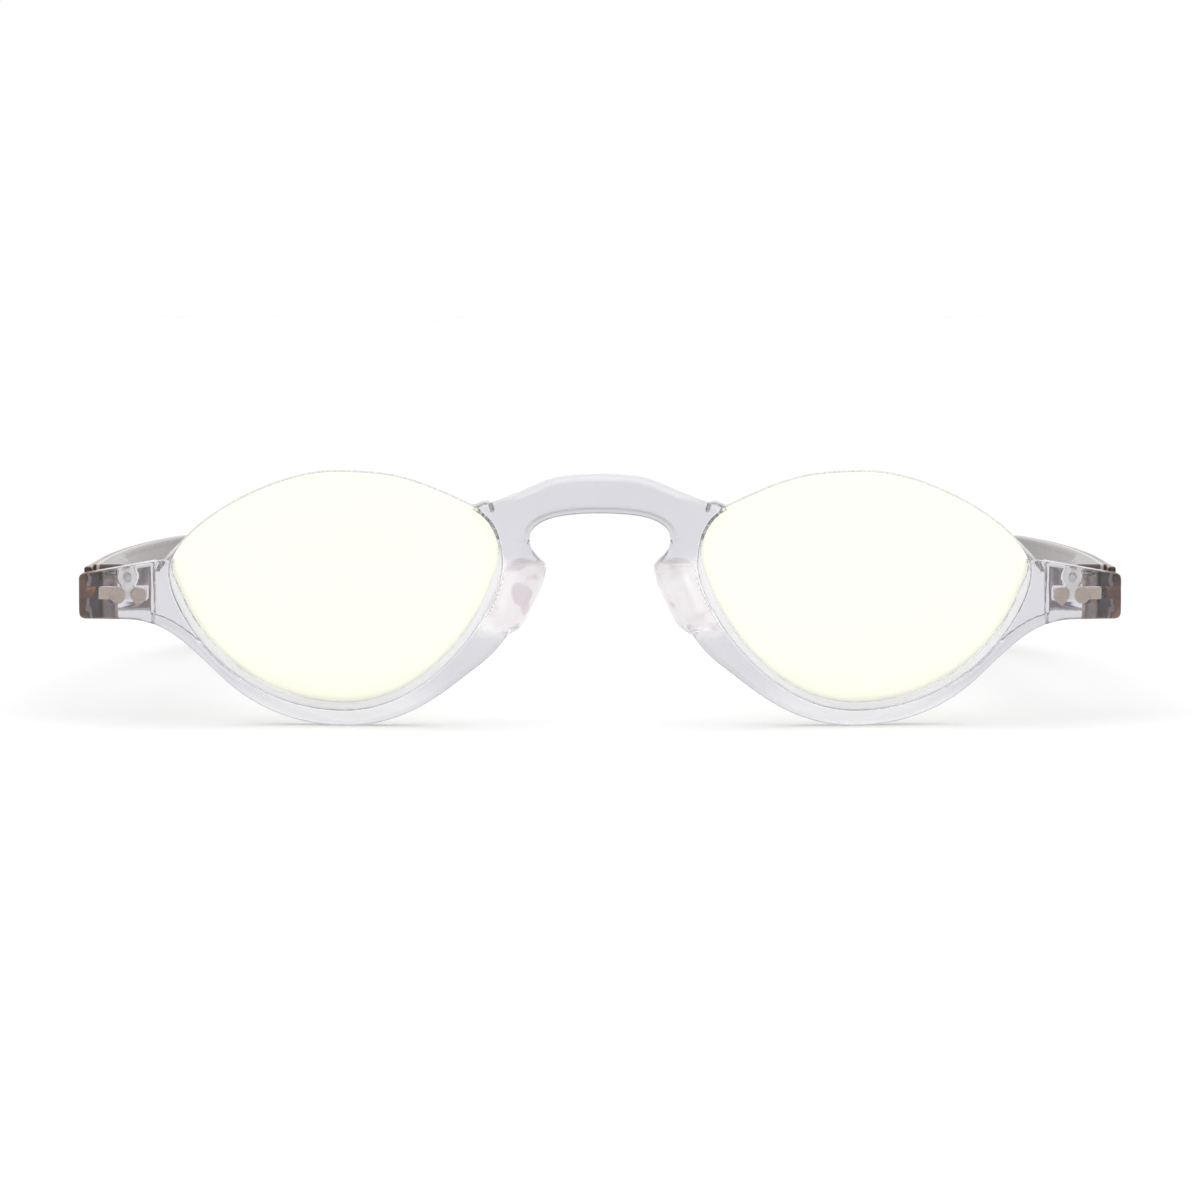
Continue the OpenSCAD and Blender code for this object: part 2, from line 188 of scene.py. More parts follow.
def sampled(line, low, high, step=0.12):
    """line_distance worked out on a fine mesh of samples, as a function that reads between them."""
    axes = [np.arange(lo, hi + step, step) for lo, hi in zip(low, high)]
    table = line_distance(line, axes[0][:, None], axes[1][None, :])

    def read(u, v):
        a = np.clip((u - low[0]) / step, 0, len(axes[0]) - 1.001)
        b = np.clip((v - low[1]) / step, 0, len(axes[1]) - 1.001)
        i, j = a.astype(int), b.astype(int)
        s, t = a - i, b - j
        return ((1 - s) * ((1 - t) * table[i, j] + t * table[i, j + 1])
                + s * ((1 - t) * table[i + 1, j] + t * table[i + 1, j + 1]))

    return read


def ease(t):
    """0 up to t = 0 and 1 from t = 1, with a smooth rise between them."""
    t = np.clip(t, 0, 1)
    return t * t * (3 - 2 * t)


def meet(a, b, r):
    """Both a and b, with the edge between them rounded to radius r."""
    return np.minimum(-r, np.maximum(a, b)) + np.hypot(np.maximum(a + r, 0), np.maximum(b + r, 0))


def join(a, b, r):
    """Either a or b, with a fillet of radius r between them."""
    return -meet(-a, -b, r)


def cut(a, b, r):
    """a without b."""
    return meet(a, -b, r)


def block(x, y, z, low, high):
    """A plain box from corner low to corner high."""
    parts = [np.maximum(lo - c, c - hi) for c, lo, hi in zip((x, y, z), low, high)]
    return np.maximum(np.maximum(parts[0], parts[1]), parts[2])


def rod(x, y, z, a, b, r):
    """A round-ended rod from a to b."""
    a, b = np.array(a, float), np.array(b, float)
    d = b - a
    s = ((x - a[0]) * d[0] + (y - a[1]) * d[1] + (z - a[2]) * d[2]) / (d @ d)
    s = np.clip(s, 0, 1)
    q = [c - a[i] - s * d[i] for i, c in enumerate((x, y, z))]
    return np.sqrt(q[0] ** 2 + q[1] ** 2 + q[2] ** 2) - r


to_front_line = sampled(FRONT_LINE, (-0.2, -0.8), (HALF_W + 1, 34))
to_lens_line = sampled(LENS_LINE, (-0.2, -0.8), (HALF_W + 1, 34))
to_temple_side = sampled(TEMPLE_SIDE, (BUTT_Y - 1.2, -1), (151.5, 22))


def groove_depth(x, z):
    """How deep the groove is: shallow near its ends, which lie higher on the nasal side."""
    up = np.where(x < LENS_X, (z - 18.5) / 5, (z - 17) / 4)
    return GROOVE_D + (GROOVE_TOP_D - GROOVE_D) * ease(up)


def pad_field(x, y, z):
    """A moulded nose pad: a rounded plate that leans back and outwards from the rim."""
    q = (x - PAD_AT[0], y - PAD_AT[1], z - PAD_AT[2])
    axes = (PAD_DOWN, PAD_BACK, np.cross(PAD_DOWN, PAD_BACK))
    u, v, w = (sum(c * k for c, k in zip(q, axis)) for axis in axes)
    w = w + 0.022 * u * u + 0.02 * v * v    # a slight crown both ways
    past = [np.maximum(np.abs(c) - half, 0) for c, half in zip((u, v), PAD_HALF)]
    return meet(np.hypot(*past) - PAD_ROUND, np.abs(w) - PAD_HALF_T, 1.15)


def groove_field(x, y, z, lens):
    """The groove that takes the lens's edge, a hair wider than the lens."""
    sphere = np.sqrt((x - LENS_C[0]) ** 2 + (y - LENS_C[1]) ** 2 + (z - LENS_C[2]) ** 2)
    return np.maximum(np.abs(sphere - LENS_R + LENS_T / 2) - LENS_T / 2 - 0.06, lens - 0.07)


def front_shell(s, depth, x, y, z):
    """The front without its pads, lens openings and hinge seats.

    s is the distance to its outline and depth the distance behind its face.
    """
    # the slope along the outline is deepest on the lower outer rim and absent over the bridge
    fade = np.clip((x - 33) / 14, 0, 1) * np.clip((15.5 - z) / 2, 0, 1)
    bevel_d = BEVEL_D * (0.25 + 0.75 * fade)
    slope = bevel_d / BEVEL_W
    bevel = (bevel_d + slope * s - depth) / np.sqrt(1 + slope**2)
    # fine steps along the underside of the bridge and along the lower outer rim
    under = ease((z - 22.8) / 1.2) * ease((29.4 - z) / 0.8) * ease((12 - x) / 1.2)
    outer = ease((x - 45) / 4) * ease((14.5 - z) / 2)
    step = STEP_D * (under * ease((s + UNDER_W) / 0.2) + outer * ease((s + BEVEL_W) / 0.2))
    face = meet(s, step - depth, FRONT_EDGE)
    face = meet(face, np.where(z < 24, bevel, -9), 0.15)
    body = meet(face, depth - FRONT_T, FRONT_EDGE)
    ends = meet(meet(face, y - BUTT_Y, 0.3), END_X - END_DRAFT * y - x, 0.15)
    return join(body, ends, 0.15)


def hinge_seat(x, y, z):
    """Room in the back of the end piece for the metal bar, its neck and its ear."""
    low_y, high_y = BUTT_Y - PLATE_T + SNUG, BUTT_Y + 8
    half_h, half_w = MID_H / 2 - SNUG, NECK_HALF_W - SNUG
    bar = block(x, y, z, (BAR_X[0] + SNUG, low_y, PIN[2] - half_h),
                (BAR_X[1] - SNUG, high_y, PIN[2] + half_h))
    neck = block(x, y, z, (FIX[0] - half_w, low_y, PIN[2]), (FIX[0] + half_w, high_y, FIX[1]))
    ear = np.maximum(np.hypot(x - FIX[0], z - FIX[1]) - EAR_R + SNUG, low_y - y)
    return np.minimum(np.minimum(bar, neck), ear)


def front_field(x, y, z):
    """The whole clear front."""
    x = np.abs(x)
    s, lens = to_front_line(x, z), to_lens_line(x, z)
    depth = WRAP_R - np.hypot(x, y - WRAP_R)
    body = front_shell(s, depth, x, y, z)
    pad = meet(pad_field(x, y, z), 0.5 - lens, 1.0)
    pad = meet(pad, -depth - 0.6, 0.4)
    body = join(body, pad, PAD_FILLET)
    body = cut(body, lens + groove_depth(x, z), LIP_EDGE)
    body = cut(body, groove_field(x, y, z, lens), 0.05)
    for start, end in CORD_ROOM:
        body = cut(body, rod(x, y, z, start, end, CORD_ROOM_R), 0.1)
    return cut(body, hinge_seat(x, y, z), 0.05)


def temple_inner(t, y):
    """x of the inner face beside the outer face's x, t, at y."""
    e = ease((y - 24) / 18)
    return (1 - e) * (PIN[0] - KNUCKLE_R) + e * (t - TEMPLE_T)


def temple_outer(y):
    """x of the temple's outer face at y."""
    return np.interp(y, TEMPLE_OUT[:, 1], TEMPLE_OUT[:, 0])


def temple_field(x, y, z):
    """The +x temple."""
    s = to_temple_side(y, z)
    outer = temple_outer(y)
    inner = temple_inner(outer, y)
    middle, half = (outer + inner) / 2, (outer - inner) / 2
    round_r = 0.22 + 0.5 * ease((y - BUTT_Y) / 9)
    body = meet(s, np.abs(x - middle) - half, round_r)
    # clearance for the knuckles, with a rib on its outer wall beside the middle one
    relief = block(x, y, z, (RELIEF_X[0], 0, -9), (RELIEF_X[1], RELIEF_Y1, 99))
    rib = block(x, y, z, (RIB_X, 0, PIN[2] - MID_H / 2), (80, BUTT_Y + 2, PIN[2] + MID_H / 2))
    body = cut(body, cut(relief, rib, 0.08), 0.12)
    leaf = block(
        x, y, z,
        (40, LEAF_Y[0] - 0.5, PIN[2] - LEAF_HALF_H + SNUG),
        (PIN[0] - KNUCKLE_R + LEAF_T - SNUG, LEAF_Y[1] - SNUG, PIN[2] + LEAF_HALF_H - SNUG),
    )
    return cut(body, leaf, 0.05)


# ---------- cord ----------
def inset_line(line, d):
    """A closed outline moved inwards by d, which is one distance or one for each point."""
    t = np.roll(line, -1, 0) - np.roll(line, 1, 0)
    t /= np.linalg.norm(t, axis=1)[:, None]
    return line + np.reshape(d, (-1, 1)) * np.stack([-t[:, 1], t[:, 0]], 1)


def on_lens(points):
    """x, z pairs as points half-way through the lens."""
    points = np.array(points, float)
    return np.stack([points[:, 0], lens_y(points[:, 0], points[:, 1], LENS_T / 2), points[:, 1]], 1)


HOLE_OUT = on_lens([(56.2, 21.7), (57.5, 19.9)])
HOLE_IN = on_lens([(14.1, 28.7), (13.9, 28)])
SHOULDER_ARCH = on_lens([(16.3, 28.5), (15.6, 28.8), (15, 29.02), (14.5, 28.95)])
OVER_SHOULDER = np.concatenate([on_lens([(17, 28.5)]), SHOULDER_ARCH, HOLE_IN])
# the stretches of the hole in the end piece, and of the channel on the shoulder
CORD_ROOM = [(HOLE_OUT[0] + 0.6 * (HOLE_OUT[0] - HOLE_OUT[1]), HOLE_OUT[1])]
CORD_ROOM += list(zip(OVER_SHOULDER[:-1], OVER_SHOULDER[1:]))


def cord_path():
    """The cord's run: end piece, top of the lens, shoulder of the bridge."""
    line = inset_line(LENS_LINE, CORD_IN)
    over = np.roll(line, TOP_OUT, 0)[:TOP_OUT + TOP_IN]
    over = over[(over[:, 1] > 24.6) & (over[:, 0] > 16.7)]
    return np.concatenate([HOLE_OUT[::-1], on_lens(over), SHOULDER_ARCH, HOLE_IN])


# ---------- meshes ----------
def to_frame(points, side=1):
    """Working millimetres to row-frame metres, mirrored for the -x side."""
    points = np.array(points, float)
    return (points * (side, 1, 1) + (0, BACK, 0)) * MM


def make_object(name, points, faces, body, material, replaces, side=1):
    """A smooth-shaded piece that rides on a body and stands for the CAD nodes it replaces."""
    if side < 0:
        faces = [tuple(reversed(f)) for f in faces]
    mesh = bpy.data.meshes.new(name)
    mesh.from_pydata(to_frame(points, side).tolist(), [], [tuple(f) for f in faces])
    mesh.validate()
    mesh.polygons.foreach_set("use_smooth", [True] * len(mesh.polygons))
    mesh.materials.append(material)
    obj = bpy.data.objects.new(name, mesh)
    bpy.context.scene.collection.objects.link(obj)
    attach(obj, body)
    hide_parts(*replaces)
    return obj


def net(values, low, step):
    """Surface net of a sampled field: points and four-sided faces on its zero level."""
    inside = values < 0
    shape = np.array(values.shape) - 1
    total = np.zeros(tuple(shape) + (3,), np.float32)
    count = np.zeros(tuple(shape), np.float32)
    for axis in range(3):
        others = [k for k in range(3) if k != axis]
        lo = [slice(None)] * 3
        hi = [slice(None)] * 3
        lo[axis], hi[axis] = slice(None, -1), slice(1, None)
        a, b = values[tuple(lo)], values[tuple(hi)]
        crossed = (a < 0) != (b < 0)
        t = np.where(crossed, a / np.where(crossed, a - b, 1), 0)
        for i in (0, 1):
            for j in (0, 1):
                pick = [slice(None)] * 3
                pick[others[0]] = slice(i, i + shape[others[0]])
                pick[others[1]] = slice(j, j + shape[others[1]])
                c = crossed[tuple(pick)]
                count += c
                total[..., axis] += np.where(c, t[tuple(pick)], 0)
                total[..., others[0]] += i * c
                total[..., others[1]] += j * c
    used = count > 0
    index = np.full(tuple(shape), -1, np.int64)
    index[used] = np.arange(used.sum())
    cells = np.argwhere(used)
    points = low + step * (cells + total[used] / count[used][:, None])
    faces = []
    for axis in range(3):
        b, c = (axis + 1) % 3, (axis + 2) % 3
        lo = [slice(1, -1)] * 3
        hi = [slice(1, -1)] * 3
        lo[axis], hi[axis] = slice(None, -1), slice(1, None)
        first, second = inside[tuple(lo)], inside[tuple(hi)]
        for flip, mask in ((False, first & ~second), (True, ~first & second)):
            at = np.argwhere(mask)
            at[:, b] += 1
            at[:, c] += 1
            ring = []
            for db, dc in ((-1, -1), (0, -1), (0, 0), (-1, 0)):
                q = at.copy()
                q[:, b] += db
                q[:, c] += dc
                ring.append(index[q[:, 0], q[:, 1], q[:, 2]])
            quad = np.stack(ring, 1)
            faces.append(quad[:, ::-1] if flip else quad)
    return points, np.concatenate(faces)


def settle(points, field, passes=3):
    """Moves points along the field's slope on to its zero level."""
    h = 0.02
    for _ in range(passes):
        x, y, z = points.T
        f = field(x, y, z)
        g = np.stack([
            field(x + h, y, z) - field(x - h, y, z),
            field(x, y + h, z) - field(x, y - h, z),
            field(x, y, z + h) - field(x, y, z - h),
        ], 1) / (2 * h)
        size = np.maximum((g * g).sum(1), 0.25)
        move = np.clip(f / size, -0.15, 0.15)[:, None] * g
        points = points - move
    return points


def grid(low, high, step):
    """x, y and z of a box of samples, ready to be combined."""
    axes = [np.arange(lo, hi + step, step) for lo, hi in zip(low, high)]
    return axes[0][:, None, None], axes[1][None, :, None], axes[2][None, None, :]


def store(obj, name, values):
    """Keeps one number per point on an object, for its material to read."""
    layer = obj.data.attributes.new(name, "FLOAT", "POINT")
    layer.data.foreach_set("value", np.asarray(values, np.float32))


def build_front(material):
    """The clear front, one half sampled and mirrored."""
    step = 0.24
    n = math.ceil((HALF_W + 1) / step)
    x, y, z = grid((0, -0.6, -0.6), (n * step, BUTT_Y + 0.6, 33.5), step)
    half = front_field(x, y, z)
    whole = np.concatenate([half[:0:-1], half])
    low = np.array((-x[-1, 0, 0], y[0, 0, 0], z[0, 0, 0]))
    points, faces = net(whole, low, step)
    points = settle(points, front_field)
    points[:, 0] = np.clip(points[:, 0], -HALF_W, HALF_W)
    points[:, 2] = np.maximum(points[:, 2], 0)
    front = make_object("front_clear", points, faces.tolist(), "front", material,
                        ["front_frame"])
    mark_front(front, np.abs(points[:, 0]), points[:, 1], points[:, 2])


def mark_front(front, x, y, z):
    """Stores where the plastic is colourless, where it is hazy, and where a painted shade line
    runs.
    """
    s, lens = to_front_line(x, z), to_lens_line(x, z)
    lip = 1 - ease((lens - 0.02) / 0.12)
    top_edge = ease((s + 1.05) / 0.3) * ease((z - 29) / 0.8) * ease((15 - x) / 3)
    rim_foot = ease((7 - z) / 5)
    pads = ease((z - 10.8) / 2.6) * ease((22.4 - z) / 1.8) * ease((17 - x) / 2)
    partly = 0.45 * np.maximum(top_edge, rim_foot)
    store(front, "clearness", np.maximum(np.maximum(lip, pads), partly))
    store(front, "haze", pads * ease((lens - 0.1) / 0.3))
    # a painted shade line just inside the step along the underside of the bridge, standing in for
    # the dark edge of that step
    line = ease(1 - np.abs(s + UNDER_W + 0.04) / 0.3)
    line = line * ease((z - 24) / 2) * ease((29.4 - z) / 0.8) * ease((11 - x) / 3)
    store(front, "line", line * (y < FRONT_T / 2))


def build_temples(material):
    """Both temples: one is sampled, and the other is its mirror image."""
    step = 0.34
    low, high = (50, BUTT_Y - 1, -0.8), (69.5, 151, 21.6)
    points, faces = net(temple_field(*grid(low, high, step)), np.array(low), step)
    points = settle(points, temple_field)
    points[:, 0] = np.minimum(points[:, 0], TEMPLE_OUT[:, 0].max())
    points[:, 2] = np.maximum(points[:, 2], 0)
    on_rib = (points[:, 1] < BUTT_Y + 2.2) & (np.abs(points[:, 2] - PIN[2]) < MID_H / 2 + 0.15)
    past_seam = temple_outer(points[:, 1]) - points[:, 0] - SEAM
    for name, side in SIDES.items():
        temple = make_object("temple_arm_" + name, points, faces.tolist(), "temple_arm_" + name,
                             material, ["temple_" + name], side)
        store(temple, "seam", np.where(on_rib, -1, past_seam))


def lens_loops(line, centre, bare):
    """Closed loops from the middle of the front face over the edge to that of the back face,
    and for each loop 1 where the tint is, else 0. bare says where the lens's edge is bare."""
    steps = np.arange(len(line))
    away = np.abs(steps[:, None] - steps[bare][None, :])
    near = np.minimum(away, len(line) - away).min(1)
    groove = np.clip(1 - near / 3, 0, 1)
    w = CORD_R + 0.1
    mid = LENS_T / 2
    # inset, depth, and whether the loop lies in the cord's groove
    edge = [(0.16, 0, 0), (0.04, 0.03, 0), (0, 0.14, 0), (0, mid - w - 0.03, 0),
            (0.05, mid - w, 1), (0.45, mid - w, 1), (0.62, mid - 0.18, 1), (0.66, mid, 1)]
    edge += [(a, LENS_T - d, g) for a, d, g in reversed(edge[:-1])]
    in_rim = groove_depth(line[:, 0], line[:, 1]) * ~bare
    face = [centre + k * (line - centre) for k in (0.12, 0.25, 0.38, 0.5, 0.61, 0.71, 0.8, 0.87)]
    face += [inset_line(line, np.maximum(in_rim + 0.12, 0.3)),
             inset_line(line, np.maximum(in_rim - 0.12, 0.2))]
    flat = [(p, 0) for p in face]
    flat += [(inset_line(line, a * (groove if g else 1)), d) for a, d, g in edge]
    flat += [(p, LENS_T) for p in reversed(face)]
    tinted = [1] * (len(face) - 1)
    loops = [np.stack([p[:, 0], lens_y(p[:, 0], p[:, 1], d), p[:, 1]], 1) for p, d in flat]
    return loops, tinted + [0] * (len(edge) + 2) + tinted


def build_lenses(material):
    """Two lenses: faces of nested loops, joined round an edge with a groove for the cord."""
    centre = np.array((LENS_X, LENS_Z))
    high, nasal = LENS_LINE[:, 1] > 22.6, LENS_LINE[:, 0] < 30
    bare = high & ~(nasal & (LENS_LINE[:, 1] < 27.6))
    loops, tinted = lens_loops(LENS_LINE, centre, bare)
    n = len(LENS_LINE)
    points = np.concatenate(loops)
    faces = []
    for r in range(len(loops) - 1):
        for i in range(n):
            j = (i + 1) % n
            faces.append((r * n + i, (r + 1) * n + i, (r + 1) * n + j, r * n + j))
    for depth, r in ((0, 0), (LENS_T, len(loops) - 1)):
        tip = len(points)
        point = (centre[0], lens_y(centre[0], centre[1], depth), centre[1])
        points = np.concatenate([points, [point]])
        for i in range(n):
            corners = (tip, r * n + i, r * n + (i + 1) % n)
            faces.append(corners if depth == 0 else corners[::-1])
    # the tint stops where the rim hides the lens's edge, and goes on to the edge where it's bare
    tint = np.concatenate([np.maximum(np.repeat(tinted, n), np.tile(bare, len(loops))), [1, 1]])
    for name, side in SIDES.items():
        lens = make_object("eye_lens_" + name, points, faces, "front", material,
                           ["lens_" + name], side)
        store(lens, "tint", tint)


def smooth_path(path, spacing):
    """Points at even spacing along a Catmull-Rom curve through path."""
    p = np.concatenate([[2 * path[0] - path[1]], path, [2 * path[-1] - path[-2]]])
    fine = []
    for i in range(1, len(p) - 2):
        for t in np.linspace(0, 1, 12, endpoint=False):
            a = -0.5 * p[i - 1] + 1.5 * p[i] - 1.5 * p[i + 1] + 0.5 * p[i + 2]
            b = p[i - 1] - 2.5 * p[i] + 2 * p[i + 1] - 0.5 * p[i + 2]
            c = 0.5 * (p[i + 1] - p[i - 1])
            fine.append(((a * t + b) * t + c) * t + p[i])
    fine = np.array(fine + [path[-1]])
    run = np.concatenate([[0], np.cumsum(np.linalg.norm(np.diff(fine, axis=0), axis=1))])
    at = np.linspace(0, run[-1], max(2, int(run[-1] / spacing)))
    return np.stack([np.interp(at, run, fine[:, k]) for k in range(3)], 1)


def build_cords(material):
    """The two cords, each a twelve-sided tube swept along its run."""
    path = smooth_path(cord_path(), 0.35)
    sides = 12
    turn = np.arange(sides) * 2 * math.pi / sides
    rings = []
    along = np.gradient(path, axis=0)
    along /= np.linalg.norm(along, axis=1)[:, None]
    for p, d in zip(path, along):
        v = np.cross(d, (0, 1, 0))
        v /= np.linalg.norm(v)
        w = np.cross(d, v)
        rings.append(p + CORD_R * (np.cos(turn)[:, None] * v + np.sin(turn)[:, None] * w))
    points = np.concatenate(rings)
    last = (len(path) - 1) * sides
    faces = [tuple(range(sides))[::-1], tuple(last + k for k in range(sides))]
    for i in range(len(path) - 1):
        for k in range(sides):
            m = (k + 1) % sides
            faces.append((i * sides + k, i * sides + m, (i + 1) * sides + m, (i + 1) * sides + k))
    for name, side in SIDES.items():
        make_object("cord_" + name, points, faces, "front", material,
                    ["nylon_cord_" + name], side)


# ---------- materials ----------
class Shader:
    """A node material with short ways to add and join nodes."""

    def __init__(self, name):
        self.material = bpy.data.materials.new(name)
        self.material.use_nodes = True
        self.tree = self.material.node_tree
        self.bsdf = self.tree.nodes["Principled BSDF"]

    def node(self, kind, inputs=None, **settings):
        """A node; inputs are values, sockets or nodes by input name or number."""
        made = self.tree.nodes.new(kind)
        for key, value in settings.items():
            setattr(made, key, value)
        for key, value in (inputs or {}).items():
            self.put(made.inputs[key], value)
        return made

    def put(self, socket, value):
        """Gives an input a plain value, or links a socket or a node's first output to it."""
        if isinstance(value, bpy.types.NodeSocket):
            self.tree.links.new(value, socket)
        elif isinstance(value, bpy.types.Node):
            self.tree.links.new(value.outputs[0], socket)
        else:
            socket.default_value = value

    def set(self, **values):
        """Inputs of the main shader, with _ for each space in their names."""
        for key, value in values.items():
            self.put(self.bsdf.inputs[key.replace("_", " ")], value)

    def place(self, scale=(1, 1, 1)):
        """Object coordinates, scaled along each axis."""
        here = self.node("ShaderNodeTexCoord").outputs["Object"]
        return self.node("ShaderNodeMapping", {"Vector": here, "Scale": scale})

    def noise(self, at, scale, detail=4, rough=0.55, distort=0.0):
        """Noise with scale in cells a metre."""
        made = self.node("ShaderNodeTexNoise", {
            "Vector": at, "Scale": scale, "Detail": detail, "Roughness": rough,
            "Distortion": distort})
        return made.outputs["Fac"]

    def ramp(self, value, stops):
        """Colours blended between stops, each a place and a colour."""
        made = self.node("ShaderNodeValToRGB", {"Fac": value})
        made.color_ramp.interpolation = "EASE"
        while len(made.color_ramp.elements) < len(stops):
            made.color_ramp.elements.new(0.5)
        for element, (where, colour) in zip(made.color_ramp.elements, stops):
            element.position = where
            element.color = (*colour, 1)
        return made.outputs["Color"]

    def stored(self, name):
        """The number that store() kept on each point."""
        return self.node("ShaderNodeAttribute", attribute_name=name).outputs["Fac"]

    def blend(self, share, first, second):
        """first where share is 0 and second where it is 1, for colours."""
        return self.node("ShaderNodeMix", {0: share, 6: first, 7: second},
                         data_type="RGBA").outputs[2]

    def span(self, value, low, high):
        """A 0 to 1 value mapped to low to high."""
        return self.node("ShaderNodeMapRange", {"Value": value, "To Min": low, "To Max": high})

    def bump(self, height, strength, distance):
        made = self.node("ShaderNodeBump", {
            "Height": height, "Strength": strength, "Distance": distance})
        self.put(self.bsdf.inputs["Normal"], made.outputs["Normal"])

    def lets_light_in(self):
        """Lamps reach what is behind the surface, as they do behind real glass."""
        out = self.tree.nodes["Material Output"]
        through = self.node("ShaderNodeBsdfTransparent", {"Color": (1, 1, 1, 1)})
        ray = self.node("ShaderNodeLightPath").outputs["Is Shadow Ray"]
        both = self.node("ShaderNodeMixShader", {0: ray, 1: self.bsdf, 2: through})
        self.put(out.inputs["Surface"], both)


def clear_plastic():
    """Lilac-grey clear plastic, colourless beside the lens and hazier in the pads, with a painted
    shade line under the bridge and painted shade patches in the pads.
    """
    m = Shader("clear_crystal_plastic")
    at = m.place()
    tint = m.ramp(m.noise(at, 55, 2), [(0.3, (0.655, 0.648, 0.69)), (0.7, (0.68, 0.672, 0.71))])
    # the pads' haze; its dark patches are painted shade, standing in for the shading seen inside
    # the pads
    pad_haze_and_painted_shade = m.ramp(m.noise(at, 330, 1), [
        (0.36, (0.72, 0.65, 0.70)), (0.44, (0.95, 0.92, 0.935)), (0.7, (0.98, 0.97, 0.975))])
    fine = m.span(m.noise(at, 900, 4), 0.02, 0.07)
    haze = m.stored("haze")
    plain = m.blend(haze, (0.96, 0.96, 0.965, 1), pad_haze_and_painted_shade)
    # painted shade: the stored line darkens the tint along the step under the bridge
    tint_with_painted_line_shade = m.blend(m.stored("line"), tint, (0.33, 0.33, 0.35, 1))
    m.set(
        Base_Color=m.blend(m.stored("clearness"), tint_with_painted_line_shade, plain),
        Roughness=m.node("ShaderNodeMapRange", {"Value": haze, "To Min": fine, "To Max": 0.3}),
        IOR=1.5,
        Transmission_Weight=m.span(haze, 1.0, 0.6),
    )
    m.bump(m.noise(at, 260, 3, 0.5, 0.4), 0.05, 0.0002)
    m.lets_light_in()
    return m.material


def cream_lens():
    """Cream filter tint, and nearly white where the rim hides the lens's edge."""
    m = Shader("cream_filter_lens")
    at = m.place()
    cream = m.ramp(m.noise(at, 25, 2), [(0.3, (1.0, 1.0, 0.85)), (0.7, (1.0, 1.0, 0.865))])
    m.set(
        Base_Color=m.blend(m.stored("tint"), (0.97, 0.97, 0.965, 1), cream),
        Roughness=m.span(m.noise(at, 700, 3), 0.03, 0.06),
        IOR=1.5,
        Alpha=0.95,
    )
    m.bump(m.noise(at, 90, 1), 0.02, 0.0001)
    return m.material


def nylon():
    """Off-white translucent line, faintly drawn along its length."""
    m = Shader("nylon_monofilament")
    at = m.place()
    m.set(
        Base_Color=m.ramp(m.noise(at, 2500, 3), [
            (0.3, (0.74, 0.74, 0.71)), (0.7, (0.88, 0.88, 0.85))]),
        Roughness=m.span(m.noise(at, 4000, 2), 0.22, 0.34),
        IOR=1.53,
        Transmission_Weight=0.2,
    )
    m.bump(m.noise(m.place((1, 6, 1)), 3000, 2), 0.15, 0.00005)
    return m.material


def stamped_metal(name, dark, light, grain, rough=(0.2, 0.42), sawn=None):
    """Satin metal with a rolled grain and small pits. sawn: the two colours of the front
    hinge's matt parts, its posts and the outer end of its bar."""
    m = Shader(name)
    streak = m.noise(m.place(grain), 1500, 5, 0.6)
    colour = m.ramp(m.noise(m.place(), 700, 3), [(0.25, dark), (0.75, light)])
    roughness = m.span(streak, *rough)
    metallic = 1.0
    if sawn:
        split = m.node("ShaderNodeSeparateXYZ", {0: m.place()})
        across = m.node("ShaderNodeMath", {0: split.outputs["X"]}, operation="ABSOLUTE")
        outer = m.node("ShaderNodeMath", {0: across, 1: (PIN[0] - 0.9) * MM},
                       operation="GREATER_THAN")
        posts = m.node("ShaderNodeMath", {
            0: split.outputs["Y"], 1: (BUTT_Y - PLATE_T - 0.1 + BACK) * MM}, operation="LESS_THAN")
        matt = m.node("ShaderNodeMath", {0: outer, 1: posts}, operation="MAXIMUM")
        marks = m.ramp(m.noise(m.place((1, 1, 9)), 900, 3), [(0.3, sawn[0]), (0.7, sawn[1])])
        colour = m.blend(matt, colour, marks)
        roughness = m.node("ShaderNodeMapRange", {
            "Value": matt, "To Min": roughness, "To Max": 0.75})
        metallic = m.node("ShaderNodeMapRange", {"Value": matt, "To Min": 1.0, "To Max": 0.1})
    m.set(Base_Color=colour, Metallic=metallic, Roughness=roughness, Anisotropic=0.3)
    m.bump(streak, 0.25, 0.00004)
    return m.material


def tortoiseshell():
    """Mottled brown outer layer, a thin pale core that is partly a painted highlight, and a plain
    mauve-grey inner layer.
    """
    m = Shader("tortoiseshell_plastic")
    at = m.place((1, 0.45, 1))
    broad = m.noise(at, 150, 3, 0.5, 1.2)
    fine = m.noise(at, 420, 4, 0.6, 0.8)
    mixed = m.node("ShaderNodeMath", {0: broad, 1: m.span(fine, -0.12, 0.12)}, operation="ADD")
    shell = m.ramp(mixed, [
        (0.36, (0.015, 0.008, 0.005)), (0.47, (0.06, 0.025, 0.013)),
        (0.56, (0.185, 0.078, 0.032)), (0.66, (0.42, 0.20, 0.08))])
    lining = m.ramp(m.noise(at, 90, 3), [
        (0.3, (0.10, 0.074, 0.076)), (0.7, (0.14, 0.108, 0.110))])
    past_seam = m.stored("seam")
    edges = [m.node("ShaderNodeMapRange", {
        "Value": past_seam, "From Min": edge - 0.04, "From Max": edge + 0.04})
        for edge in (0, PALE_CORE_AND_HIGHLIGHT)]
    # the pale core is a laminate layer and also a painted highlight: its pale line along the
    # temple's top and beside the brown layer stands in for light streaks
    shell_and_highlit_core = m.blend(edges[0], shell, (0.52, 0.44, 0.44, 1))
    m.set(
        Base_Color=m.blend(edges[1], shell_and_highlit_core, lining),
        Roughness=m.span(m.noise(m.place(), 1100, 4), 0.12, 0.24),
        Specular_IOR_Level=0.25,
    )
    m.bump(m.noise(m.place(), 350, 3), 0.04, 0.0001)
    return m.material


